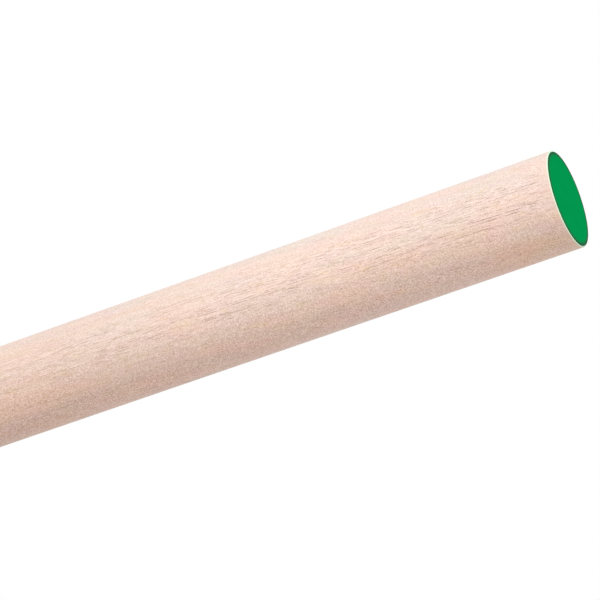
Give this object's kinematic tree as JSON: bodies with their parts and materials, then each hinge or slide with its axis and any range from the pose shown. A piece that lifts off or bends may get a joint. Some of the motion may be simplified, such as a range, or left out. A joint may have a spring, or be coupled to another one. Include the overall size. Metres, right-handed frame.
{
  "type": "wooden dowel rod",
  "caption": "Straight round wooden dowel rod, sawn square at both ends, with green marking paint on one end face; a pin, peg, rail or craft stick to cut, drill or glue.",
  "frame": {"origin": "centre of the plain end, which the rod stands on", "axes": "+Z along the rod's axis, from the plain end to the painted end; the rod is round, so X and Y are free"},
  "size_m": [0.0254, 0.0254, 0.3049],
  "materials": {
    "bare_wood": "matte",
    "green_paint": "matte"
  },
  "bodies": {
    "root": {"rod": "bare_wood", "end_paint": "green_paint"}
  },
  "joints": []
}
